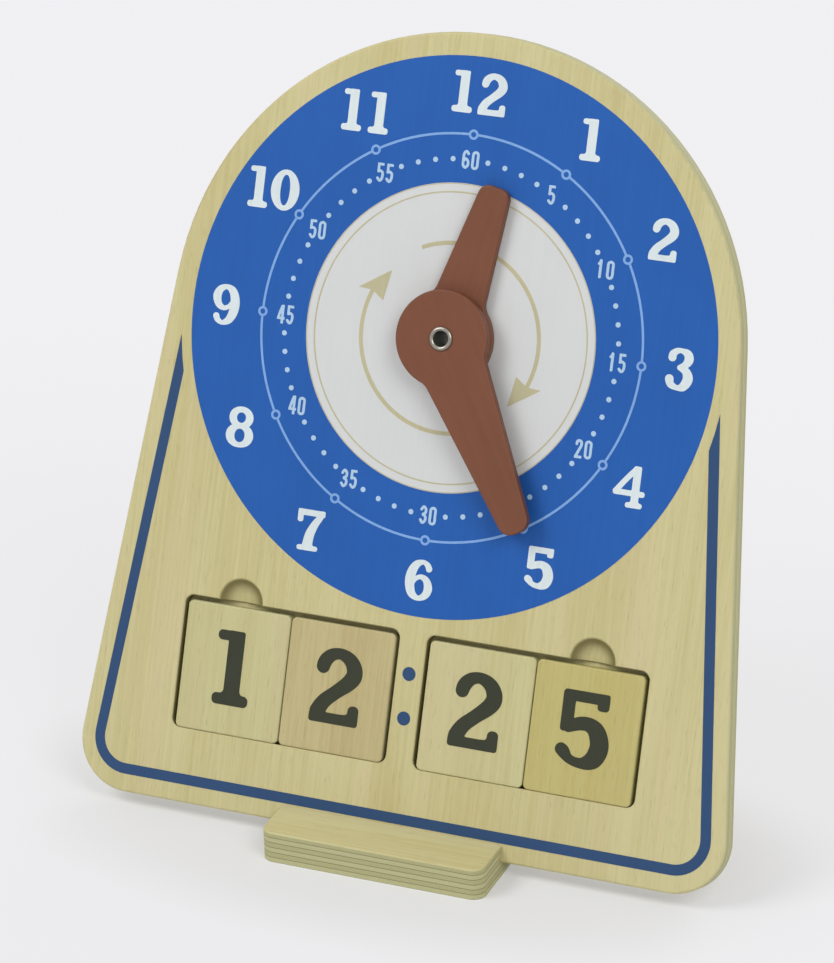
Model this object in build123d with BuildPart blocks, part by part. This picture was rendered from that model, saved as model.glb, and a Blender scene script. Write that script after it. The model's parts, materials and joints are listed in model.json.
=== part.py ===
from build123d import *

import math
import os

# A wooden teaching clock. Its board leans back in a slanted groove of a plywood foot. The row frame
# stands on the floor under the middle of the foot, with +X to the right and the dial facing -Y.

# Board, measured from the dial centre
arch_radius = 112.0
board_drop = 188.0
side_flare = 5.7
board_corner = 20.0
front_thickness = 5.0
back_thickness = 4.0
board_ease = 1.0
board_lean = 22.0

# Number tiles and the pockets that hold them
tile_width = 42.0
tile_height = 48.5
tile_corner = 2.0
tile_ease = 0.7
tile_gap = 0.4
tile_side_play = 1.5
tile_top_play = 1.9
tile_seat_play = 0.1
tile_floor_play = 0.1
pocket_web = 10.8
pocket_drop = 109.3
pocket_ease = 0.4

# Finger scoops in the pockets' upper edges
scoop_radius = 9.2
scoop_depth = 4.0
scoop_ease = 0.4

# Hands and the time that they show
hub_diameter = 36.0
hand_thickness = 3.5
hand_ease = 0.6
hand_root_fillet = 6.0
hand_play = 0.1
minute_length = 76.5
minute_root_width = 28.0
minute_tip_width = 11.0
minute_tip_round = 5.0
hour_length = 58.5
hour_root_width = 23.0
hour_tip_width = 11.5
hour_tip_round = 4.0
shown_hour = 12
shown_minute = 25

# Pivot
eyelet_bore = 5.6
eyelet_wall = 0.5
eyelet_rim_diameter = 9.0
eyelet_rim_height = 0.8
running_clearance = 0.08
spacer_diameter = 20.0
spacer_thickness = 0.6
back_washer_diameter = 16.0
back_washer_thickness = 1.0

# Foot
foot_width = 88.5
foot_depth = 110.0
foot_height = 12.4
foot_corner = 5.0
foot_ease = 0.8
foot_ledge = 20.8
seat_height = 6.5
groove_play = 0.15
seat_play = 0.1

# How far a cut runs past the face that it opens
overrun = 5.0

# Sizes that follow from those above
board_thickness = front_thickness + back_thickness
tile_thickness = front_thickness - tile_floor_play
pocket_width = 2 * tile_width + tile_gap + 2 * tile_side_play
pocket_height = tile_height + tile_seat_play + tile_top_play
pocket_corner = tile_corner + tile_side_play
pocket_x = (pocket_web + pocket_width) / 2
pocket_y = -pocket_drop - pocket_height / 2
tile_y = -pocket_drop - tile_top_play - tile_height / 2
tile_step = (tile_width + tile_gap) / 2
scoop_x = pocket_x + tile_step
scoop_sphere = (scoop_radius**2 + scoop_depth**2) / (2 * scoop_depth)
scoop_level = scoop_sphere - scoop_depth
pivot_radius = eyelet_bore / 2 + eyelet_wall
bearing_radius = pivot_radius + running_clearance
rim_radius = eyelet_rim_diameter / 2

# Heights above the dial, along the pivot
hour_level = spacer_thickness + hand_play
minute_washer_level = hour_level + hand_thickness + hand_play
minute_level = minute_washer_level + spacer_thickness + hand_play
rim_level = minute_level + hand_thickness + hand_play
tail_level = -board_thickness - back_washer_thickness

# The board's own directions, its seat in the groove and the plane of its front face
lean = math.radians(board_lean)
board_up = Vector(0, math.sin(lean), math.cos(lean))
board_out = Vector(0, -math.cos(lean), math.sin(lean))
seat_y = foot_ledge - foot_depth / 2 - (foot_height - seat_height) * math.tan(lean)
seat = Vector(0, seat_y, seat_height)
dial_centre = seat + board_up * board_drop
dial = Plane(origin=dial_centre, x_dir=(1, 0, 0), z_dir=board_out)
pivot_axis = Axis(dial_centre, board_out)

os.makedirs("parts", exist_ok=True)


def save(part, name):
    """Label one finished piece and write it under its own name."""
    part.label = name
    export_step(part, f"parts/{name}.step")


def board_outline():
    """Draw the board's outline: an arch, two sides that flare from its tangents, and a rounded foot end."""
    flare = math.radians(side_flare)
    shoulder_x = arch_radius * math.cos(flare)
    shoulder_y = arch_radius * math.sin(flare)
    base_x = (arch_radius + board_drop * math.sin(flare)) / math.cos(flare)
    with BuildSketch() as outline:
        with BuildLine():
            ThreePointArc((-shoulder_x, shoulder_y), (0, arch_radius), (shoulder_x, shoulder_y))
            Polyline(
                (shoulder_x, shoulder_y),
                (base_x, -board_drop),
                (-base_x, -board_drop),
                (-shoulder_x, shoulder_y),
            )
        make_face()
        fillet(outline.vertices().group_by(Axis.Y)[0], board_corner)
        Circle(bearing_radius, mode=Mode.SUBTRACT)
    return outline.sketch


def hand(level, angle, length, root_width, tip_width, tip_round):
    """Make a hand at a height above the dial, turned clockwise from twelve: a round hub and a tapered arm."""
    turn = math.radians(angle)
    across = dial.x_dir * math.cos(turn) - board_up * math.sin(turn)
    with BuildPart() as blank:
        with BuildSketch(Plane(origin=dial_centre + board_out * level, x_dir=across, z_dir=board_out)):
            with BuildSketch(mode=Mode.PRIVATE) as arm:
                with BuildLine():
                    Polyline(
                        (-root_width / 2, 0),
                        (-tip_width / 2, length),
                        (tip_width / 2, length),
                        (root_width / 2, 0),
                        close=True,
                    )
                make_face()
                fillet(arm.vertices().group_by(Axis.Y)[-1], tip_round)
            with BuildSketch(mode=Mode.PRIVATE) as shape:
                Circle(hub_diameter / 2)
                add(arm.sketch)
                roots = shape.vertices().filter_by(lambda v: 0 < v.Y < hub_diameter / 2)
                fillet(roots, hand_root_fillet)
                Circle(bearing_radius, mode=Mode.SUBTRACT)
            add(shape.sketch)
        extrude(amount=hand_thickness)
        faces = blank.faces().filter_by(GeomType.PLANE).sort_by(pivot_axis)
        rims = [face.outer_wire().edges() for face in (faces[0], faces[-1])]
        fillet(rims[0] + rims[1], hand_ease)
    return blank.part


# Foot: a plywood plate with eased edges and a groove that leans with the board
with BuildPart() as foot:
    with BuildSketch(Plane.XY):
        RectangleRounded(foot_width, foot_depth, foot_corner)
    extrude(amount=foot_height)
    fillet(foot.faces().sort_by(Axis.Z)[-1].edges(), foot_ease)
    groove_floor = Plane(origin=seat - board_up * seat_play, x_dir=(1, 0, 0), z_dir=board_up)
    with BuildSketch(groove_floor):
        with Locations((0, board_thickness / 2)):
            Rectangle(foot_width + overrun, board_thickness + 2 * groove_play)
    extrude(amount=foot_height + overrun, mode=Mode.SUBTRACT)
save(foot.part, "foot")

# Back panel: the board's rear layer and the floor of the pockets
with BuildPart() as back_panel:
    with BuildSketch(dial.offset(-board_thickness)):
        add(board_outline())
    extrude(amount=back_thickness)
    fillet(back_panel.faces().sort_by(pivot_axis)[0].outer_wire().edges(), board_ease)
save(back_panel.part, "back_panel")

# Front panel: the dial layer, cut through for the pockets and scooped for a finger at each one
with BuildPart() as front_panel:
    with BuildSketch(dial.offset(-front_thickness)):
        add(board_outline())
        with Locations((-pocket_x, pocket_y), (pocket_x, pocket_y)):
            RectangleRounded(pocket_width, pocket_height, pocket_corner, mode=Mode.SUBTRACT)
    extrude(amount=front_thickness)
    front_face = front_panel.faces().sort_by(pivot_axis)[-1]
    fillet(front_face.outer_wire().edges(), board_ease)
    front_face = front_panel.faces().sort_by(pivot_axis)[-1]
    pocket_rims = [wire for wire in front_face.inner_wires() if wire.length > pocket_width]
    chamfer(pocket_rims[0].edges() + pocket_rims[1].edges(), pocket_ease)
    for side in (-1, 1):
        with Locations(dial.from_local_coords((side * scoop_x, -pocket_drop, scoop_level))):
            Sphere(scoop_sphere, mode=Mode.SUBTRACT)
    scoop_rims = front_panel.edges().filter_by(GeomType.CIRCLE).filter_by(
        lambda edge: math.isclose(edge.radius, scoop_radius, abs_tol=scoop_ease)
    )
    fillet(scoop_rims, scoop_ease)
save(front_panel.part, "front_panel")

# Number tiles: two in each pocket, standing on its lower edge and flush with the dial
tile_places = {
    "tile_hour_tens": -pocket_x - tile_step,
    "tile_hour_units": -pocket_x + tile_step,
    "tile_minute_tens": pocket_x - tile_step,
    "tile_minute_units": pocket_x + tile_step,
}
for tile_name, tile_x in tile_places.items():
    with BuildPart() as tile:
        with BuildSketch(dial.offset(-tile_thickness)):
            with Locations((tile_x, tile_y)):
                RectangleRounded(tile_width, tile_height, tile_corner)
        extrude(amount=tile_thickness)
        tile_faces = tile.faces().filter_by(GeomType.PLANE).sort_by(pivot_axis)
        fillet(tile_faces[0].edges() + tile_faces[-1].edges(), tile_ease)
    save(tile.part, tile_name)

# Hour washer: the spacer between the dial and the hour hand
with BuildPart() as hour_washer:
    with BuildSketch(dial):
        Circle(spacer_diameter / 2)
        Circle(bearing_radius, mode=Mode.SUBTRACT)
    extrude(amount=spacer_thickness)
save(hour_washer.part, "hour_washer")

# Hour hand, next to the dial
hour_angle = 30 * (shown_hour % 12 + shown_minute / 60)
hour_hand = hand(hour_level, hour_angle, hour_length, hour_root_width, hour_tip_width, hour_tip_round)
save(hour_hand, "hour_hand")

# Minute washer: the spacer between the two hands
with BuildPart() as minute_washer:
    with BuildSketch(dial.offset(minute_washer_level)):
        Circle(spacer_diameter / 2)
        Circle(bearing_radius, mode=Mode.SUBTRACT)
    extrude(amount=spacer_thickness)
save(minute_washer.part, "minute_washer")

# Minute hand, in front of the hour hand
minute_angle = 6 * shown_minute
minute_hand = hand(
    minute_level, minute_angle, minute_length, minute_root_width, minute_tip_width, minute_tip_round
)
save(minute_hand, "minute_hand")

# Back washer: takes the eyelet's tail behind the board
with BuildPart() as back_washer:
    with BuildSketch(dial.offset(tail_level)):
        Circle(back_washer_diameter / 2)
        Circle(bearing_radius, mode=Mode.SUBTRACT)
    extrude(amount=back_washer_thickness)
save(back_washer.part, "back_washer")

# Pivot eyelet: a hollow rivet through board and hands, rolled outward at both ends
with BuildPart() as pivot_eyelet:
    with BuildSketch(Plane(origin=dial_centre, x_dir=(1, 0, 0), z_dir=-board_up)):
        with BuildLine():
            bore = eyelet_bore / 2
            crest = (bore + rim_radius) / 2
            ThreePointArc((bore, rim_level), (crest, rim_level + eyelet_rim_height), (rim_radius, rim_level))
            Polyline(
                (rim_radius, rim_level),
                (pivot_radius, rim_level),
                (pivot_radius, tail_level),
                (rim_radius, tail_level),
            )
            ThreePointArc((rim_radius, tail_level), (crest, tail_level - eyelet_rim_height), (bore, tail_level))
            Line((bore, tail_level), (bore, rim_level))
        make_face()
    revolve(axis=pivot_axis)
save(pivot_eyelet.part, "pivot_eyelet")
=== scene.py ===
import json
import math

import bpy
import numpy as np
from mathutils import Matrix, Vector


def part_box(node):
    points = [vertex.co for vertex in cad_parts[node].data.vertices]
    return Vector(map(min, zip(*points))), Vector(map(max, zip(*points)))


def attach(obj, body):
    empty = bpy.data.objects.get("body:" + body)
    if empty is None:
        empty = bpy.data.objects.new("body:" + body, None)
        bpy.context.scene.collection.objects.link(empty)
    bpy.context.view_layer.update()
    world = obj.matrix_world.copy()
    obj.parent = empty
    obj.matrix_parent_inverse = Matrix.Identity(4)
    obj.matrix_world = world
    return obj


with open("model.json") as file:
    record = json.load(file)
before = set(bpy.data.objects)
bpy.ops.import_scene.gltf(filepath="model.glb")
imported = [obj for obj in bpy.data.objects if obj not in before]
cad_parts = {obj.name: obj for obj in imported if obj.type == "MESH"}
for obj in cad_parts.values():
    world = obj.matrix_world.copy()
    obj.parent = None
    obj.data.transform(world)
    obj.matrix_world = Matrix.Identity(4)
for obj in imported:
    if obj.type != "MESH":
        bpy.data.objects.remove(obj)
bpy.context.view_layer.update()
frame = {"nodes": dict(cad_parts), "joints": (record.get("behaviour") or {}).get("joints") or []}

# Foot: a plate of pale six-layer plywood with a slanted groove, sanded smooth and lacquered.
# The layers show on every sawn edge as thin dark glue lines, and the grain runs across the clock.


class Wire:
    """A socket in a material's node tree. Sums on wires add Math nodes, and make adds any other node."""

    def __init__(self, tree, socket=None):
        self.tree = tree
        self.socket = socket

    def plug(self, target, value):
        """Link a wire to a socket, or set a plain value on it."""
        if isinstance(value, Wire):
            self.tree.links.new(value.socket, target)
        else:
            target.default_value = value

    def make(self, kind, settings, sockets, output=0):
        """Add a node, apply its settings, fill its sockets and give back one of its outputs."""
        node = self.tree.nodes.new(kind)
        for name, value in settings.items():
            setattr(node, name, value)
        for key, value in sockets.items():
            self.plug(node.inputs[key], value)
        return Wire(self.tree, node.outputs[output])

    def maths(self, operation, *values):
        return self.make("ShaderNodeMath", {"operation": operation}, dict(enumerate(values)))

    def __add__(self, other):
        return self.maths("ADD", self, other)

    def __sub__(self, other):
        return self.maths("SUBTRACT", self, other)

    def __rsub__(self, other):
        return self.maths("SUBTRACT", other, self)

    def __mul__(self, other):
        return self.maths("MULTIPLY", self, other)

    def __abs__(self):
        return self.maths("ABSOLUTE", self)

    __radd__ = __add__
    __rmul__ = __mul__

    def root(self):
        return self.maths("SQRT", self)

    def fraction(self):
        return self.maths("FRACT", self)

    def beside(self, name):
        """Another output of the node that this wire comes from."""
        return Wire(self.tree, self.socket.node.outputs[name])

    def dot(self, direction):
        """Length of this vector along a fixed direction."""
        settings = {"operation": "DOT_PRODUCT"}
        return self.make("ShaderNodeVectorMath", settings, {0: self, 1: tuple(direction)}, output=1)

    def step(self, low, high):
        """Rise smoothly from 0 at low to 1 at high."""
        settings = {"interpolation_type": "SMOOTHSTEP"}
        return self.make("ShaderNodeMapRange", settings, {"Value": self, "From Min": low, "From Max": high})

    def tint(self, first, second):
        """Colour that goes from the first to the second as this wire goes from 0 to 1."""
        settings = {"data_type": "RGBA"}
        colours = [c if isinstance(c, Wire) else (*c, 1) for c in (first, second)]
        return self.make("ShaderNodeMix", settings, {0: self, 6: colours[0], 7: colours[1]}, output=2)

    def vector(self, x, y, z):
        return self.make("ShaderNodeCombineXYZ", {}, {0: x, 1: y, 2: z})

    def noise(self, detail, roughness=0.5, distortion=0.0, scale=1.0):
        """Fractal noise read at this vector times a scale, about 0.5 on average."""
        sockets = {"Vector": self, "Scale": scale, "Detail": detail}
        sockets.update({"Roughness": roughness, "Distortion": distortion})
        return self.make("ShaderNodeTexNoise", {}, sockets)


def start_material(name):
    """Begin a material. Returns it and a wire at its object coordinates."""
    material = bpy.data.materials.new(name)
    material.use_nodes = True
    return material, Wire(material.node_tree).make("ShaderNodeTexCoord", {}, {}, output="Object")


def apply_finish(place, looks):
    """Plug wires and plain values into the shader of a wire's material, by the names of its sockets."""
    sockets = place.tree.nodes["Principled BSDF"].inputs
    for name, value in looks.items():
        place.plug(sockets[name], value)


def bump(height, distance):
    """Normal that follows a height wire, scaled to a real relief in metres."""
    return height.make("ShaderNodeBump", {}, {"Strength": 1, "Distance": distance, "Height": height})


def shade(colour, share):
    """A colour with each part times a share, or times its own share."""
    return tuple(np.multiply(colour, share).tolist())


def grain(place, axes, cells, shift=0.0):
    """Coordinates for noise that is drawn out along the grain.

    A metre holds so many cells across the grain and through the sheet, and so many along the grain.
    """
    across, along = cells
    s, t, w = [place.dot(count * np.array(axis)) for count, axis in zip((across, along, across), axes)]
    return place.vector(s + shift, t, w)


# Cells of noise in a metre: across the grain and along it, and for the specks in the sheet and through it.
wood_fibre = (900, 16)
wood_figure = (38, 3.5)
wood_blush = (55, 6)
wood_pores = (3200, 150)
end_specks = (2600, 900)
wood_relief = 0.00006
wood_shine = 0.25


def plywood(name, axes, back, layer, pale, streak, shift, shaded_recess=None):
    """Lacquered plywood. axes are the directions across the grain, along it and through the sheet.

    Faces: slow figure plus fine fibres, both noise stretched along the grain, with short dark pores.
    Edges, where the normal turns away from the sheet's: layers of one thickness, every other one end grain,
    parted by glue lines. back is the place of the sheet's back along the through direction.
    An optional area, given by its half width, lowest and highest place and the level of the sheet's front
    there, marks
    the pockets: all that a cutter has taken below that level is darkened with painted shade, most where it is
    steep.
    """
    blushed = shade(pale, (1.0, 0.93, 1.02))
    dark_pore = shade(streak, 0.66)
    long_grain = shade(pale, (0.88, 0.94, 0.96))
    end_grain = shade(streak, (0.78, 0.85, 0.88))
    glue_line = shade(streak, 0.36)
    recess_shade = shade(streak, (0.30, 0.28, 0.18))
    blush_share, pore_share, glue_share, wall_shade_share = 0.5, 0.45, 0.8, 0.8
    material, place = start_material(name)
    s, t, w = [place.dot(axis) for axis in axes]
    fibre = grain(place, axes, wood_fibre, shift).noise(detail=4, roughness=0.6)
    figure = grain(place, axes, wood_figure, shift).noise(detail=2, distortion=0.8)
    blush = grain(place, axes, wood_blush, shift).noise(detail=2).step(0.5, 0.72)
    pore = grain(place, axes, wood_pores, shift).noise(detail=2).step(0.64, 0.74)
    tone = (figure * 0.5 + fibre * 0.5).step(0.34, 0.66)
    sheet = (blush * blush_share).tint(tone.tint(streak, pale), blushed)
    face = (pore * pore_share).tint(sheet, dark_pore)
    depth = (w - back) * (1 / layer)
    other_layer = (depth * 0.5).fraction().step(0.48, 0.52)
    speck_flat, speck_deep = end_specks
    speck = place.vector(s * speck_flat, t * speck_flat, w * speck_deep).noise(detail=3).step(0.4, 0.7)
    glue = abs(depth.fraction() - 0.5).step(0.38, 0.47)
    edge = (other_layer * 0.5 + speck * 0.4).tint(long_grain, end_grain)
    edge = (glue * glue_share).tint(edge, glue_line)
    facing = abs(place.beside("Normal").dot(axes[2]))
    # Painted shade: inside that area the pocket walls and the steep sides of the finger scoops are darkened,
    # as if in shadow.
    if shaded_recess:
        half, low, high, front = shaded_recess
        margin = 0.0003
        shallow, deep = 0.0001, 0.0008
        steep_shade_share, flat_shade_share = 0.87, 0.03
        cut = (front - w).step(shallow, deep)
        for way_in in (half - abs(s), t - low, high - t):
            cut = cut * way_in.step(0, margin)
        share = steep_shade_share - facing.step(0.78, 1.0) * (steep_shade_share - flat_shade_share)
        edge = (cut * wall_shade_share).tint(edge, recess_shade)
        face = (cut * share).tint(face, recess_shade)
    sawn = 1 - facing.step(0.3, 0.62)
    looks = {
        "Base Color": sawn.tint(face, edge),
        "Roughness": fibre * 0.16 + sawn * 0.14 + 0.36,
        "Normal": bump(fibre - pore * 0.6, wood_relief),
        "Specular IOR Level": wood_shine,
    }
    apply_finish(place, looks)
    return material


def dress(node, material):
    """Give a solid its finish."""
    slots = frame["nodes"][node].data.materials
    slots.clear()
    slots.append(material)


foot_layers = 6
foot_low, foot_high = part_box("foot")
foot_axes = [(0, 1, 0), (1, 0, 0), (0, 0, 1)]
foot_layer = (foot_high.z - foot_low.z) / foot_layers
wood_pale = (0.63, 0.575, 0.310)
wood_streak = (0.55, 0.482, 0.230)
foot_wood = plywood("foot_plywood", foot_axes, foot_low.z, foot_layer, wood_pale, wood_streak, shift=3.0)
dress("foot", foot_wood)

# Back panel and front panel: two sheets of pale plywood glued face to face, the front one cut through
# for the tile pockets. The grain stands upright, and the whole board leans back with the groove.

joints = {joint["name"]: joint for joint in frame["joints"]}
right = np.array((1.0, 0.0, 0.0))
board_up = np.array(joints["board_lift"]["axis"])
board_out = -np.array(joints["minute_turn"]["axis"])
dial_centre = np.array(joints["minute_turn"]["pos_m"])
board_axes = [right, board_up, board_out]
dial_up = float(dial_centre @ board_up)
dial_out = float(dial_centre @ board_out)
board_layers = 3
front_sheet = 0.005
back_sheet = 0.004
front_layer = front_sheet / board_layers
back_layer = back_sheet / board_layers
glue_joint = dial_out - front_sheet
board_back = glue_joint - back_sheet
cut_reach = 0.0935
cut_top = 0.0990
cut_foot = 0.1605
# The tile pockets and finger scoops of the front panel, where it gets painted shade.
recess_shade_area = (cut_reach, dial_up - cut_foot, dial_up - cut_top, dial_out)
front_wood = plywood(
    "front_plywood", board_axes, glue_joint, front_layer, wood_pale, wood_streak, shift=0.0, shaded_recess=recess_shade_area
)
back_wood = plywood("back_plywood", board_axes, board_back, back_layer, wood_pale, wood_streak, shift=9.0)
dress("front_panel", front_wood)
dress("back_panel", back_wood)

# Blue dial ring: the first colour screen-printed on the bare front panel, a thin even film of ink
# that lets the grain show faintly as relief.


def on_board(flat, height):
    """Row-frame points for flat (right, up) distances from the dial centre, at a height off the board."""
    return dial_centre + flat @ np.array([right, board_up]) + height * board_out


def grid_quads(rows, columns, wrap=False):
    """Corner numbers of the quads of a grid of points, joined end to start along its rows if it wraps."""
    index = np.arange(rows * columns).reshape(rows, columns)
    if wrap:
        index = np.vstack([index, index[:1]])
    corners = [index[:-1, :-1], index[1:, :-1], index[1:, 1:], index[:-1, 1:]]
    return np.stack(corners, -1).reshape(-1, 4)


def clock_point(radius, angle):
    """Flat places at radii and clock angles in degrees: radius times (sin a, cos a)."""
    turn = np.radians(angle)
    return np.stack([radius * np.sin(turn), radius * np.cos(turn)], -1)


def ring_patch(inner, outer, start=0.0, sweep=360.0, steps=180):
    """Flat ring or part of one: radius from inner to outer, clock angle from start over sweep, in degrees."""
    whole = sweep == 360.0
    angle = start + np.linspace(0, sweep, steps, endpoint=not whole)
    flat = clock_point(np.array([inner, outer]), angle[:, None])
    return flat.reshape(-1, 2), grid_quads(steps, 2, whole)


def join(patches):
    """One patch from several."""
    starts = np.cumsum([0] + [len(flat) for flat, quads in patches])
    flats = np.concatenate([flat for flat, quads in patches])
    return flats, np.concatenate([quads + start for (flat, quads), start in zip(patches, starts)])


def facing_out(flat, quads):
    """The quads, each turned so that it runs anticlockwise seen from the front."""
    a, b, c, d = [flat[quads[:, corner]] for corner in range(4)]
    ac, bd = c - a, d - b
    area = ac[:, 0] * bd[:, 1] - ac[:, 1] * bd[:, 0]
    return np.where(area[:, None] < 0, quads[:, ::-1], quads)


ink_film = 0.00008


def film(name, patch, material, under=0, body="board"):
    """Print a flat patch as a closed film of ink, over so many films that are under it.

    The patch stands at the film's top and at its base, with a wall round its rim. A rim edge is one that only
    one quad uses, so its reverse isn't among the other quads' edges.
    """
    flat, quads = patch
    base = under * ink_film
    top = base + ink_film
    quads = facing_out(flat, quads)
    count = len(flat)
    edges = np.stack([quads, np.roll(quads, -1, axis=1)], -1).reshape(-1, 2)
    forward = edges[:, 0] * count + edges[:, 1]
    backward = edges[:, 1] * count + edges[:, 0]
    rim = edges[~np.isin(forward, backward)]
    walls = np.stack([rim[:, 0], rim[:, 0] + count, rim[:, 1] + count, rim[:, 1]], -1)
    points = np.concatenate([on_board(flat, top), on_board(flat, base)])
    faces = np.concatenate([quads, quads[:, ::-1] + count, walls])
    mesh = bpy.data.meshes.new(name)
    mesh.from_pydata(points.tolist(), [], faces.tolist())
    mesh.materials.append(material)
    piece = bpy.data.objects.new(name, mesh)
    bpy.context.scene.collection.objects.link(piece)
    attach(piece, body)


ink_clouds = (45, 30)
ink_relief = 0.00001
ink_shine = 0.2


def ink(name, colour, gloss, uneven=0.05):
    """Screen ink on wood: one colour, a little uneven along the fibres, with the grain as faint relief."""
    material, place = start_material(name)
    fibre = grain(place, board_axes, wood_fibre).noise(detail=4, roughness=0.6)
    cloud = grain(place, board_axes, ink_clouds).noise(detail=3, roughness=0.6)
    tone = (fibre * 0.5 + cloud * 0.5).step(0.3, 0.7)
    looks = {
        "Base Color": tone.tint(shade(colour, 1 - uneven), shade(colour, 1 + uneven)),
        "Roughness": fibre * 0.12 + gloss,
        "Normal": bump(fibre, ink_relief),
        "Specular IOR Level": ink_shine,
    }
    apply_finish(place, looks)
    return material


dial_outer = 0.1035
dial_inner = 0.057
dial_blue = ink("dial_blue_ink", (0.0185, 0.109, 0.412), gloss=0.36)
film("dial_ring", ring_patch(dial_inner, dial_outer), dial_blue)

# White centre of the dial: white ink inside the blue ring and, over it in straw-coloured ink, two fine lines
# near its rim and two long arrows that show which way the hands turn. Both are screen-printed.

washer_clear = 0.0102
dial_white = ink("dial_white_ink", (0.665, 0.677, 0.672), gloss=0.38, uneven=0.015)
film("dial_disc", ring_patch(washer_clear, dial_inner), dial_white)

straw = ink("straw_ink", (0.52, 0.48, 0.30), gloss=0.42)
rim_lines = [(0.0534, 0.0539), (0.0566, 0.0569)]
film("dial_lines", join([ring_patch(inner, outer) for inner, outer in rim_lines]), straw, under=1)

arrow_radius = 0.035
arrow_line = 0.0015
arrow_start, arrow_neck, arrow_tip = -25.0, 113.0, 130.0
barb_width = 0.0054
barb_sweep = 2.5
tip_radius = 0.0336
tip_width = 0.00015


def arrow_patch(turned, steps=72):
    """Arc of a line's width that runs into a barbed head, turned by an angle in degrees.

    The head's back edge sweeps back from the neck in proportion to its distance from the middle of the line.
    The arc's three lanes end on that edge, and four quads go from it to the tip.
    """
    lane = np.array([-0.5, 0.0, 0.5]) * arrow_line
    side = np.array([-barb_width, *lane, barb_width])
    back_angle = turned + arrow_neck - barb_sweep * np.abs(side) / barb_width
    start = turned + arrow_start
    along = np.linspace(0, 1, steps)[:, None]
    arc = clock_point(arrow_radius + lane, start + along * (back_angle[1:-1] - start))
    barbs = clock_point(arrow_radius + side, back_angle)[[0, -1]]
    tip = clock_point(tip_radius + np.linspace(-1, 1, len(side)) * tip_width, turned + arrow_tip)
    count = len(lane) * steps
    arc_end = count - len(lane) + np.arange(len(lane))
    back = np.array([count, *arc_end, count + 1])
    front = count + len(barbs) + np.arange(len(tip))
    head = np.stack([back[:-1], back[1:], front[1:], front[:-1]], -1)
    flat = np.concatenate([arc.reshape(-1, 2), barbs, tip])
    return flat, np.concatenate([grid_quads(steps, len(lane)), head])


film("turn_arrows", join([arrow_patch(turned) for turned in (0.0, 180.0)]), straw, under=1)

# Hour circle and minute dots: a fine pale-blue circle with an open ring at each hour, and four small
# dots between the minute numbers, printed over the blue.

hour_degrees = 30
hour_circle = 0.075
circle_line = 0.0009
circle_inner = hour_circle - circle_line / 2
circle_outer = hour_circle + circle_line / 2
marker_outer = 0.0019
marker_inner = 0.0010
marker_angle = math.degrees(marker_outer / hour_circle)
arc_sweep = hour_degrees - 2 * marker_angle
circle_ink = ink("circle_ink", (0.22, 0.40, 0.74), gloss=0.4)
marker, marker_quads = ring_patch(marker_inner, marker_outer, steps=32)
circle_parts = []
for angle in range(0, 360, hour_degrees):
    circle_parts.append(ring_patch(circle_inner, circle_outer, angle + marker_angle, arc_sweep, steps=24))
    circle_parts.append((marker + clock_point(hour_circle, angle), marker_quads))
film("hour_circle", join(circle_parts), circle_ink, under=1)


def disc_patch(radius, steps=8):
    """Flat disc without a pole: the square x, y carried to x sqrt(1 - y y / 2), y sqrt(1 - x x / 2)."""
    line = np.linspace(-1, 1, steps + 1)
    x, y = np.meshgrid(line, line, indexing="ij")
    flat = np.stack([x * np.sqrt(1 - y * y / 2), y * np.sqrt(1 - x * x / 2)], -1)
    return radius * flat.reshape(-1, 2), grid_quads(steps + 1, steps + 1)


minute_degrees = 6
minute_radius = 0.0657
dot_radius = 0.00098
minute_pale = ink("minute_pale_ink", (0.43, 0.60, 0.78), gloss=0.4)
dot, dot_quads = disc_patch(dot_radius)
dots = []
for minute in range(60):
    if minute % 5:
        dots.append((dot + clock_point(minute_radius, minute_degrees * minute), dot_quads))
film("minute_dots", join(dots), minute_pale, under=1)

# Hour numbers: bold upright figures with slab feet and ball ends, printed in white on the blue ring.
# Each figure is drawn with a pen of changing width and flat bars, in shares of its own height, and each
# number is set a little off its place on the ring.


def stroke(knots, points, steps=20):
    """Signed distance to a pen stroke.

    The pen is a disc of changing radius, run along a cubic curve through knots of x, y and radius. At a knot
    the curve heads the way that leads from the knot before it to the knot after it.
    """
    knots = np.array(knots, float)
    ends = np.concatenate([knots[:1], knots, knots[-1:]])
    t = np.linspace(0, 1, steps)[:, None, None]
    a, b, c, d = ends[:-3], ends[1:-2], ends[2:-1], ends[3:]
    curve = 0.5 * (2 * b + (c - a) * t + (2 * a - 5 * b + 4 * c - d) * t**2 + (3 * b - a - 3 * c + d) * t**3)
    curve = curve.reshape(-1, 3)
    reach = np.linalg.norm(points[:, None, :] - curve[None, :, :2], axis=2)
    return (reach - curve[None, :, 2]).min(1)


def bar(low, high, corner, points):
    """Signed distance to a box from its low to its high corner, with rounded corners."""
    low, high = np.array(low), np.array(high)
    over = np.abs(points - (low + high) / 2) - (high - low) / 2 + corner
    return np.linalg.norm(np.maximum(over, 0), axis=1) + np.minimum(over.max(1), 0) - corner


def soft_union(first, second, blend):
    """The nearer of two distances, with the inner corner between them filled over a blend length."""
    near = np.maximum(blend - np.abs(first - second), 0) / blend
    return np.minimum(first, second) - near**2 * blend / 4


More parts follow.
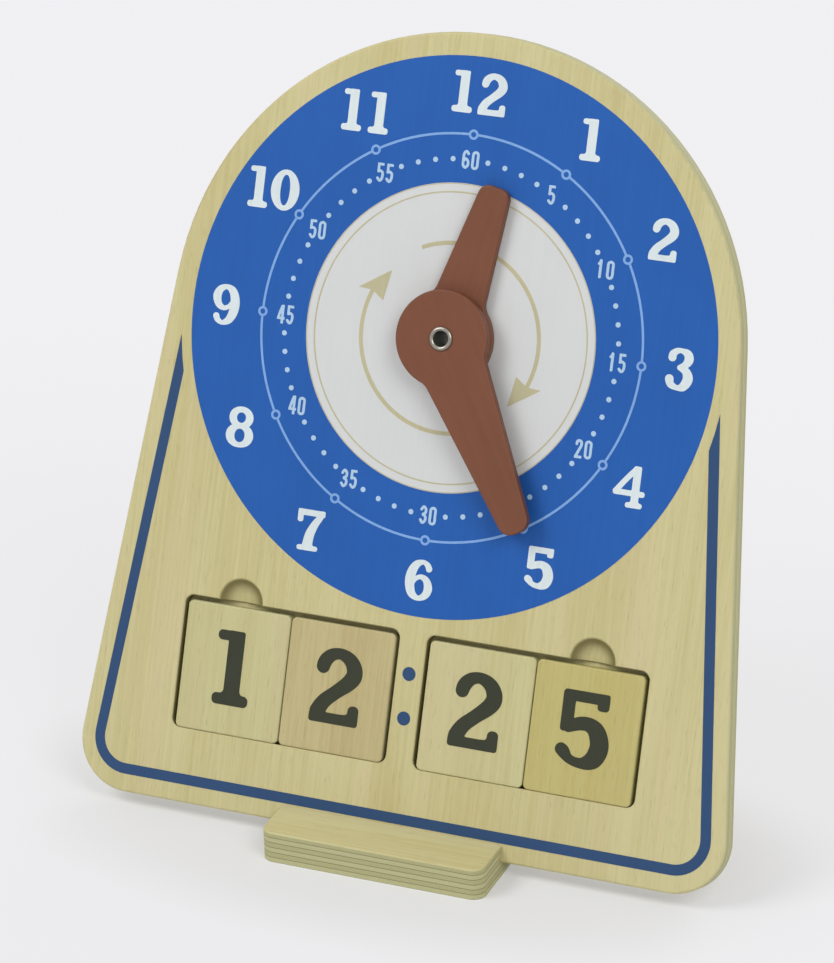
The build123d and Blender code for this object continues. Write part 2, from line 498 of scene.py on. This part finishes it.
def figure_patch(strokes, bars, width, cell=1 / 60):
    """Quads that fill one figure: the cells of a grid that lie inside, with their rim pulled to the outline.

    A cell lies inside if its middle does. A pull moves a point p to p - d n / (n n), where d is the distance
    at p and n is its slope.
    """
    pulls = 2
    margin = 0.1
    least_slope = 0.3
    nudge = 0.2 * cell

    def distance(points):
        nearest = np.full(len(points), 1.0)
        for knots in strokes:
            nearest = np.minimum(nearest, stroke(knots, points))
        for low, high, corner, blend in bars:
            nearest = soft_union(nearest, bar(low, high, corner, points), blend)
        return nearest

    x = np.arange(-margin, width + margin, cell)
    y = np.arange(-margin, 1 + margin, cell)
    flat = np.stack(np.meshgrid(x, y, indexing="ij"), -1).reshape(-1, 2)
    quads = grid_quads(len(x), len(y))
    quads = quads[distance(flat[quads].mean(1)) < 0]
    users = np.bincount(quads.ravel(), minlength=len(flat))
    rim = np.flatnonzero((users > 0) & (users < 4))
    for _ in range(pulls):
        here = flat[rim]
        slope = [distance(here + step) - distance(here - step) for step in nudge * np.eye(2)]
        slope = np.stack(slope, -1) / (2 * nudge)
        pull = distance(here) / np.maximum((slope**2).sum(1), least_slope)
        flat[rim] = here - pull[:, None] * slope
    used = np.unique(quads)
    return flat[used], np.searchsorted(used, quads)


def loop(middle, half, side, end, steps=24):
    """Closed pen path round an ellipse, with one pen radius at its sides and another at its top and bottom.

    At turn a it is at middle + half (sin a, cos a), and its pen is end + (side - end) sin a sin a.
    """
    turn = np.linspace(0, 2 * math.pi, steps + 1)
    around = np.stack([np.sin(turn), np.cos(turn)], -1)
    pen = end + (side - end) * around[:, 0] ** 2
    return np.column_stack([np.array(middle) + np.array(half) * around, pen])


# A figure has its width, its pen strokes as knots of x, y and pen radius, and its bars, each with its low
# corner, its high corner, the radius of its corners and the blend length to what was drawn before.
slab_six = [
    (0.58, 0.80, 0.082), (0.53, 0.89, 0.07), (0.405, 0.944, 0.056), (0.24, 0.855, 0.095),
    (0.14, 0.64, 0.12), (0.125, 0.38, 0.12), (0.205, 0.155, 0.10), (0.375, 0.062, 0.062),
    (0.545, 0.145, 0.09), (0.61, 0.315, 0.108), (0.55, 0.50, 0.088), (0.41, 0.584, 0.062),
    (0.28, 0.535, 0.055), (0.20, 0.44, 0.06),
]
six_width = 0.72
slab_nine = [(six_width - x, 1 - y, pen) for x, y, pen in slab_six]
slab_figures = {
    "0": (0.75, [loop((0.375, 0.5), (0.25, 0.4375), 0.125, 0.0625)], []),
    "1": (0.52, [], [((0.0, 0.86), (0.30, 0.995), 0.06, 0.01), ((0.156, 0.08), (0.387, 1.0), 0.03, 0.005),
                     ((0.0, 0.0), (0.52, 0.152), 0.065, 0.07)]),
    "2": (0.70, [[(0.128, 0.742, 0.093), (0.144, 0.80, 0.096), (0.18, 0.858, 0.092), (0.246, 0.912, 0.082),
                  (0.343, 0.937, 0.074), (0.444, 0.91, 0.085), (0.518, 0.856, 0.097), (0.563, 0.785, 0.107),
                  (0.58, 0.715, 0.111), (0.565, 0.645, 0.112), (0.495, 0.555, 0.104), (0.343, 0.423, 0.092),
                  (0.199, 0.292, 0.098), (0.118, 0.16, 0.106), (0.11, 0.12, 0.10)],
                 [(0.46, 0.112, 0.03), (0.525, 0.122, 0.03), (0.562, 0.157, 0.03), (0.572, 0.22, 0.03)]],
          [((0.0, 0.0), (0.695, 0.142), 0.04, 0.01), ((0.542, 0.02), (0.695, 0.278), 0.065, 0.005)]),
    "3": (0.68, [[(0.117, 0.765, 0.10), (0.13, 0.85, 0.09), (0.233, 0.93, 0.07), (0.35, 0.94, 0.06),
                  (0.492, 0.878, 0.10), (0.531, 0.746, 0.112), (0.453, 0.617, 0.085), (0.324, 0.544, 0.062)],
                 [(0.324, 0.544, 0.062), (0.492, 0.466, 0.098), (0.557, 0.293, 0.125), (0.466, 0.111, 0.105),
                  (0.324, 0.063, 0.063), (0.155, 0.124, 0.088), (0.104, 0.25, 0.105)]], []),
    "4": (0.80, [[(0.072, 0.36, 0.068), (0.29, 0.65, 0.068), (0.53, 0.932, 0.068)]],
          [((0.468, 0.05), (0.662, 1.0), 0.04, 0.01), ((0.343, 0.0), (0.765, 0.127), 0.055, 0.06),
           ((0.005, 0.278), (0.80, 0.413), 0.05, 0.02)]),
    "5": (0.73, [[(0.15, 0.50, 0.06), (0.22, 0.545, 0.08), (0.303, 0.577, 0.088), (0.408, 0.583, 0.093),
                  (0.504, 0.54, 0.109), (0.562, 0.463, 0.122), (0.596, 0.34, 0.128), (0.581, 0.232, 0.128),
                  (0.535, 0.142, 0.118), (0.456, 0.09, 0.093), (0.373, 0.069, 0.07), (0.269, 0.079, 0.062),
                  (0.183, 0.118, 0.066), (0.121, 0.185, 0.086), (0.088, 0.21, 0.085)]],
          [((0.035, 0.45), (0.21, 0.99), 0.04, 0.01), ((0.045, 0.855), (0.672, 1.0), 0.03, 0.005),
           ((0.51, 0.775), (0.672, 0.98), 0.05, 0.005)]),
    "6": (six_width, [slab_six], []),
    "7": (0.72, [[(0.645, 0.93, 0.068), (0.575, 0.82, 0.08), (0.46, 0.64, 0.098), (0.36, 0.40, 0.118),
                  (0.325, 0.17, 0.13)]],
          [((0.0, 0.85), (0.715, 1.0), 0.03, 0.01), ((0.0, 0.68), (0.145, 0.98), 0.06, 0.005),
           ((0.055, 0.0), (0.60, 0.124), 0.055, 0.06)]),
    "8": (0.73, [loop((0.365, 0.73), (0.22, 0.20), 0.10, 0.072),
                 loop((0.365, 0.292), (0.25, 0.23), 0.115, 0.065)], []),
    "9": (six_width, [slab_nine], []),
}
slab_set = {}
for sign, (width, strokes, bars) in slab_figures.items():
    slab_set[sign] = (width, figure_patch(strokes, bars, width))


def number_patch(text, figures, height, gap, middle):
    """A number of a given height with its figures side by side, centred on a flat place."""
    widths = [figures[sign][0] for sign in text]
    left = -(sum(widths) + gap * (len(text) - 1)) / 2
    parts = []
    for sign in text:
        width, (flat, quads) = figures[sign]
        parts.append((middle + height * (flat + (left, -0.5)), quads))
        left += width + gap
    return join(parts)


hour_radius = 0.0902
hour_height = 0.0153
hour_gaps = {10: 0.06, 11: 0.18, 12: 0.15}
hour_shifts = {
    1: (0.0005, 0.0004), 2: (-0.0004, 0.0012), 3: (-0.0005, 0.0009), 4: (-0.0020, 0.0014),
    5: (0.0007, -0.0002), 6: (-0.0004, 0.0003), 7: (-0.0007, -0.0001), 8: (-0.0005, 0.0010),
    9: (0.0, 0.0004), 10: (0.0020, 0.0006), 11: (0.0020, 0.0003), 12: (0.0006, 0.0),
}
number_white = ink("number_white_ink", (0.70, 0.78, 0.80), gloss=0.4)
hour_numbers = []
for hour, shift in hour_shifts.items():
    middle = clock_point(hour_radius, hour_degrees * hour) + shift
    gap = hour_gaps.get(hour, 0.0)
    hour_numbers.append(number_patch(str(hour), slab_set, hour_height, gap, middle))
film("hour_numbers", join(hour_numbers), number_white, under=1)

# Minute numbers: narrow plain figures every five minutes, screen-printed in the same pale blue as the dots
# and on the same circle. They are drawn with a pen of one width and a few flat bars.

plain_pen = 0.072
plain_width = 0.44
plain_cell = 1 / 40
plain_lines = {
    "0": [(0.22, 0.915), (0.345, 0.83), (0.355, 0.5), (0.345, 0.17), (0.22, 0.085), (0.095, 0.17),
          (0.085, 0.5), (0.095, 0.83), (0.22, 0.915)],
    "1": [(0.10, 0.76), (0.17, 0.84), (0.20, 0.915), (0.20, 0.5), (0.20, 0.085)],
    "2": [(0.09, 0.73), (0.115, 0.86), (0.225, 0.915), (0.335, 0.84), (0.34, 0.66), (0.22, 0.38),
          (0.10, 0.10)],
    "3": [(0.09, 0.77), (0.21, 0.915), (0.335, 0.80), (0.32, 0.60), (0.20, 0.51), (0.33, 0.42),
          (0.345, 0.22), (0.21, 0.085), (0.085, 0.22)],
    "4": [(0.25, 0.90), (0.16, 0.60), (0.085, 0.30)],
    "5": [(0.11, 0.55), (0.21, 0.585), (0.335, 0.50), (0.35, 0.30), (0.30, 0.13), (0.20, 0.085),
          (0.085, 0.20)],
    "6": [(0.335, 0.80), (0.22, 0.915), (0.10, 0.80), (0.085, 0.5), (0.09, 0.22), (0.21, 0.085),
          (0.345, 0.20), (0.345, 0.40), (0.22, 0.53), (0.11, 0.44)],
}
plain_bars = {
    "2": [((0.015, 0.0), (0.42, 0.145), 0.02, 0.01)],
    "4": [((0.235, 0.0), (0.38, 0.985), 0.02, 0.01), ((0.01, 0.21), (0.45, 0.345), 0.02, 0.01)],
    "5": [((0.04, 0.50), (0.18, 0.99), 0.02, 0.01), ((0.04, 0.86), (0.40, 1.0), 0.02, 0.01)],
}
plain_set = {}
for sign, line in plain_lines.items():
    knots = [(x, y, plain_pen) for x, y in line]
    bars = plain_bars.get(sign, [])
    plain_set[sign] = (plain_width, figure_patch([knots], bars, plain_width, plain_cell))

minute_height = 0.0071
minute_gap = 0.08
minute_numbers = []
for minute in range(5, 61, 5):
    middle = clock_point(minute_radius, minute_degrees * minute)
    minute_numbers.append(number_patch(str(minute), plain_set, minute_height, minute_gap, middle))
film("minute_numbers", join(minute_numbers), minute_pale, under=1)

# Border stripe and colon: dull dark-blue ink straight on the wood. The stripe follows the board's sides
# and foot and stops short of the dial, and the colon stands between the tile pockets.

stripe_flare = math.radians(6.2)
stripe_side = 0.1028
stripe_width = 0.0040
stripe_drop = 0.1791
stripe_corner = 0.0118
stripe_stop = 0.1076


def stripe_patch(lanes=3, corner_steps=16):
    """Band along the board's sides and foot, as lanes that share each corner's centre.

    A side lane lies at x cos f + y sin f = d, leaning out by the flare f. It starts where it meets the circle
    that clears the dial, runs down to the corner, turns about the corner's centre and goes across.
    """
    lane = np.linspace(-0.5, 0.5, lanes) * stripe_width
    out = np.array([math.cos(stripe_flare), math.sin(stripe_flare)])
    down = np.array([math.sin(stripe_flare), -math.cos(stripe_flare)])
    centre_y = stripe_corner - stripe_drop
    centre_x = (stripe_side - stripe_corner - centre_y * out[1]) / out[0]
    centre = np.array([centre_x, centre_y])
    distance = stripe_side + lane
    drop = np.sqrt(stripe_stop**2 - distance**2)
    starts = distance[:, None] * out + drop[:, None] * down
    turn = np.linspace(stripe_flare, -math.pi / 2, corner_steps)
    spokes = np.stack([np.cos(turn), np.sin(turn)], -1)
    bend = centre + (stripe_corner + lane)[:, None, None] * spokes
    half = np.concatenate([starts[:, None], bend], 1)
    whole = np.concatenate([half, half[:, ::-1] * (-1, 1)], 1)
    return whole.reshape(-1, 2), grid_quads(lanes, whole.shape[1])


stripe_ink = ink("stripe_ink", (0.030, 0.074, 0.175), gloss=0.42)
film("border_stripe", stripe_patch(), stripe_ink)
colon_radius = 0.0026
colon_drops = (0.1250, 0.1417)
colon_flat, colon_quads = disc_patch(colon_radius, steps=12)
colon = join([(colon_flat + (0, -drop), colon_quads) for drop in colon_drops])
film("colon_dots", colon, stripe_ink)

# Number tiles: small plywood plates with eased edges, each cut from another place on the sheet, so their
# wood differs. One large figure is printed on each in near-black ink.

tile_layers = 3
tile_sheet = 0.0049
tile_layer = tile_sheet / tile_layers
tile_back = dial_out - tile_sheet
figure_height = 0.0283
figure_rise = 0.0011
figure_ink = ink("figure_ink", (0.040, 0.044, 0.027), gloss=0.42)
tiles = {
    "tile_hour_tens": ("1", (0.595, 0.560, 0.298), (0.528, 0.475, 0.233), 21.0),
    "tile_hour_units": ("2", (0.56, 0.488, 0.253), (0.485, 0.398, 0.190), 47.0),
    "tile_minute_tens": ("2", (0.608, 0.570, 0.305), (0.542, 0.486, 0.235), 63.0),
    "tile_minute_units": ("5", (0.545, 0.483, 0.194), (0.50, 0.422, 0.148), 88.0),
}
for tile, (sign, pale, streak, shift) in tiles.items():
    wood = plywood(f"{tile}_plywood", board_axes, tile_back, tile_layer, pale, streak, shift)
    dress(tile, wood)
    corners = np.array([list(corner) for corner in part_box(tile)])
    from_dial = corners.mean(0) - dial_centre
    middle = np.array([from_dial @ right, from_dial @ board_up + figure_rise])
    figure = number_patch(sign, slab_set, figure_height, gap=0.0, middle=middle)
    film(f"{tile}_figure", figure, figure_ink, body=tile)

# Spacer washers: two thin rings punched from pale plastic sheet. One lies between the dial and the hour hand
# and one between the two hands, so that they turn without rubbing.


def sheet_plastic(name, colour):
    """Matt plastic sheet: an even colour with a fine cloudy gloss."""
    material, place = start_material(name)
    cloud = place.noise(detail=3, scale=900)
    looks = {
        "Base Color": cloud.tint(shade(colour, 0.9), colour),
        "Roughness": cloud * 0.2 + 0.4,
    }
    apply_finish(place, looks)
    return material


washer_plastic = sheet_plastic("washer_plastic", (0.68, 0.66, 0.60))
dress("hour_washer", washer_plastic)
dress("minute_washer", washer_plastic)

# Hands: flat wooden pointers, rounded along their edges and dipped in a reddish-brown satin paint. Each has
# a hole through its round hub and turns on the pivot, the short hour hand under the long minute hand.

hand_fibre = (700, 22)
hand_clouds = (60, 35)
hand_relief = 0.00005
hand_shine = 0.25
hand_edge_shade_share = 0.25


def hand_paint(name, angle, colour):
    """Satin paint on wood: a cloudy tone, painted shade on the rounded edges, and the grain as faint relief.

    The grain runs along the hand, which points at a clock angle in degrees.
    """
    turn = math.radians(angle)
    along = math.cos(turn) * board_up + math.sin(turn) * right
    across = math.cos(turn) * right - math.sin(turn) * board_up
    axes = [across, along, board_out]
    material, place = start_material(name)
    fibre = grain(place, axes, hand_fibre).noise(detail=4, roughness=0.6)
    cloud = grain(place, axes, hand_clouds).noise(detail=3, roughness=0.6)
    # Painted shade: where the surface turns away from the hand's face, the paint is darkened as if those
    # edges were in shadow.
    edge = 1 - abs(place.beside("Normal").dot(board_out)).step(0.5, 0.95)
    tone = (fibre * 0.45 + cloud * 0.55).step(0.3, 0.7)
    body = tone.tint(shade(colour, 0.93), shade(colour, 1.07))
    looks = {
        "Base Color": (edge * hand_edge_shade_share).tint(body, shade(colour, 0.7)),
        "Roughness": fibre * 0.14 + 0.34,
        "Normal": bump(fibre, hand_relief),
        "Specular IOR Level": hand_shine,
    }
    apply_finish(place, looks)
    return material


shown_hour = 12
shown_minute = 25
hour_angle = hour_degrees * (shown_hour % 12 + shown_minute / 60)
minute_angle = minute_degrees * shown_minute
hand_brown = (0.188, 0.069, 0.037)
dress("hour_hand", hand_paint("hour_hand_paint", hour_angle, hand_brown))
dress("minute_hand", hand_paint("minute_hand_paint", minute_angle, hand_brown))

# Pivot: an eyelet drawn from sheet steel and plated, pushed through the hands and the board and rolled over
# at both ends, with a steel washer behind the board.

bore_shade = (0.13, 0.135, 0.11)


def rolled_steel(name, colour, bore):
    """Plated steel: fine scuffs as uneven gloss, slightly dull patches, and painted shade with a rougher
    gloss inside the bore.

    The bore is where the distance from the pivot's line, the root of s s + t t, is less than its radius.
    """
    material, place = start_material(name)
    s = place.dot(right)
    t = place.dot(board_up) - dial_up
    # Painted shade: the bore's inner wall is darkened as if in shadow.
    inside = 1 - (s * s + t * t).root().step(bore * 1.01, bore * 1.09)
    fine = place.noise(detail=3, scale=2400)
    dull = place.noise(detail=2, scale=500)
    plated = dull.tint(shade(colour, 0.8), colour)
    looks = {
        "Base Color": inside.tint(plated, bore_shade),
        "Roughness": fine * 0.2 + dull * 0.15 + inside * 0.35 + 0.12,
        "Metallic": 1.0,
    }
    apply_finish(place, looks)
    return material


eyelet_bore = 0.0028
pivot_steel = rolled_steel("pivot_steel", (0.34, 0.32, 0.275), eyelet_bore)
dress("pivot_eyelet", pivot_steel)
dress("back_washer", pivot_steel)

# Floor: a wide table top in matt pale paint, which fills every view. For camera rays it also glows with the
# room's white, a painted light that is weaker near the clock, so that the clock's shadow stays there and is
# lightened farther out.

floor_half = 14.0
floor_steps = 24
floor_pale = (0.80, 0.80, 0.81)
floor_grey = (0.78, 0.78, 0.79)
room_white = (0.88, 0.875, 0.895)
under_glow, near_glow, far_glow = 0.28, 0.76, 0.98
under_reach, near_reach, far_reach = 0.105, 0.19, 0.90
shadow_y = -0.015
shadow_flatness = 2.0


def seen_directly(start):
    """1 for a ray that shows a surface to the camera, straight, in a mirror or through glass, or else 0."""
    straight = start.make("ShaderNodeLightPath", {}, {}, output="Is Camera Ray")
    mirrored = straight.beside("Is Glossy Ray")
    through = straight.beside("Is Transmission Ray")
    return start.maths("MINIMUM", straight + mirrored + through, 1)


def table_paint(name):
    """Matt pale paint mixed, for camera rays, with a painted glow of the room's white, more of it farther
    from the clock.

    The reach is the root of x x + y y, with y taken from the shadow's middle and stretched by its flatness.
    """
    material, place = start_material(name)
    looks = {
        "Base Color": place.noise(detail=2).tint(floor_grey, floor_pale),
        "Roughness": 0.7,
        "Specular IOR Level": 0.2,
    }
    apply_finish(place, looks)
    x = place.dot((1, 0, 0))
    y = place.dot((0, shadow_flatness, 0)) - shadow_flatness * shadow_y
    reach = (x * x + y * y).root()
    share = reach.step(under_reach, near_reach) * (near_glow - under_glow) + under_glow
    share = share + reach.step(near_reach, far_reach) * (far_glow - near_glow)
    nodes = material.node_tree.nodes
    paint = Wire(material.node_tree, nodes["Principled BSDF"].outputs[0])
    white = place.make("ShaderNodeEmission", {}, {"Color": (*room_white, 1), "Strength": 1})
    mixed = place.make("ShaderNodeMixShader", {}, {0: seen_directly(place) * share, 1: paint, 2: white})
    place.plug(nodes["Material Output"].inputs["Surface"], mixed)
    return material


floor_line = np.linspace(-1, 1, floor_steps + 1)
floor_x, floor_y = np.meshgrid(floor_line, floor_line, indexing="ij")
floor_points = floor_half * np.stack([floor_x, floor_y, np.zeros_like(floor_x)], -1).reshape(-1, 3)
floor_quads = grid_quads(floor_steps + 1, floor_steps + 1)
floor_mesh = bpy.data.meshes.new("floor")
floor_mesh.from_pydata(floor_points.tolist(), [], floor_quads.tolist())
floor_mesh.materials.append(table_paint("floor_paint"))
floor = bpy.data.objects.new("floor", floor_mesh)
bpy.context.scene.collection.objects.link(floor)

# Light: two broad soft lamps high in front, the left one a little stronger, a low one behind that shows the
# back in its own colour, and an even white room.


def soft_lamp(name, place, target, size, power):
    """Square area lamp at a place, turned to a target."""
    lamp = bpy.data.lights.new(name, "AREA")
    lamp.size = size
    lamp.energy = power
    stand = bpy.data.objects.new(name, lamp)
    stand.location = place
    aim = np.array(target) - np.array(place)
    stand.rotation_euler = Vector(aim).to_track_quat("-Z", "Y").to_euler()
    bpy.context.scene.collection.objects.link(stand)


lamp_target = (0, 0, 0.15)
lamps = {
    "key_lamp": ((-1.25, -1.05, 1.90), 1.1, 23.5),
    "fill_lamp": ((1.40, -1.05, 1.80), 1.1, 19.0),
    "back_lamp": ((0.5, 2.4, 1.1), 1.8, 20.0),
}
for lamp_name, (lamp_place, lamp_size, lamp_power) in lamps.items():
    soft_lamp(lamp_name, lamp_place, lamp_target, lamp_size, lamp_power)

room_light = 0.40
world = bpy.data.worlds.new("room")
world.use_nodes = True
bpy.context.scene.world = world
room_nodes = world.node_tree.nodes
room_nodes["Background"].inputs["Color"].default_value = (1, 1, 1, 1)
room_nodes["Background"].inputs["Strength"].default_value = room_light
lit = Wire(world.node_tree, room_nodes["Background"].outputs[0])
shown = lit.make("ShaderNodeBackground", {}, {"Color": (*room_white, 1), "Strength": 1})
room = lit.make("ShaderNodeMixShader", {}, {0: seen_directly(lit), 1: lit, 2: shown})
room.plug(room_nodes["World Output"].inputs["Surface"], room)
bpy.context.scene.view_settings.view_transform = "Standard"

# Camera: a long lens from the right and a little above, as in the photograph, and rolled a little, so that
# the dial's two axes lie nearly as they do there.

view_azimuth = math.radians(23.5)
view_elevation = math.radians(26.0)
view_roll = math.radians(-1.8)
view_distance = 1.75
view_target = np.array((0.0, 0.0, 0.138))
image_height = 963
lens_pixels = 4800
sensor_mm = 36.0
back_to_camera = np.array(
    [
        math.sin(view_azimuth) * math.cos(view_elevation),
        -math.cos(view_azimuth) * math.cos(view_elevation),
        math.sin(view_elevation),
    ]
)
camera = bpy.data.cameras.new("camera")
camera.sensor_width = sensor_mm
camera.lens = sensor_mm * lens_pixels / image_height
tripod = bpy.data.objects.new("camera", camera)
tripod.location = view_target + view_distance * back_to_camera
level = Vector(-back_to_camera).to_track_quat("-Z", "Y").to_matrix()
tripod.rotation_euler = (level @ Matrix.Rotation(view_roll, 3, "Z")).to_euler()
bpy.context.scene.collection.objects.link(tripod)
bpy.context.scene.camera = tripod
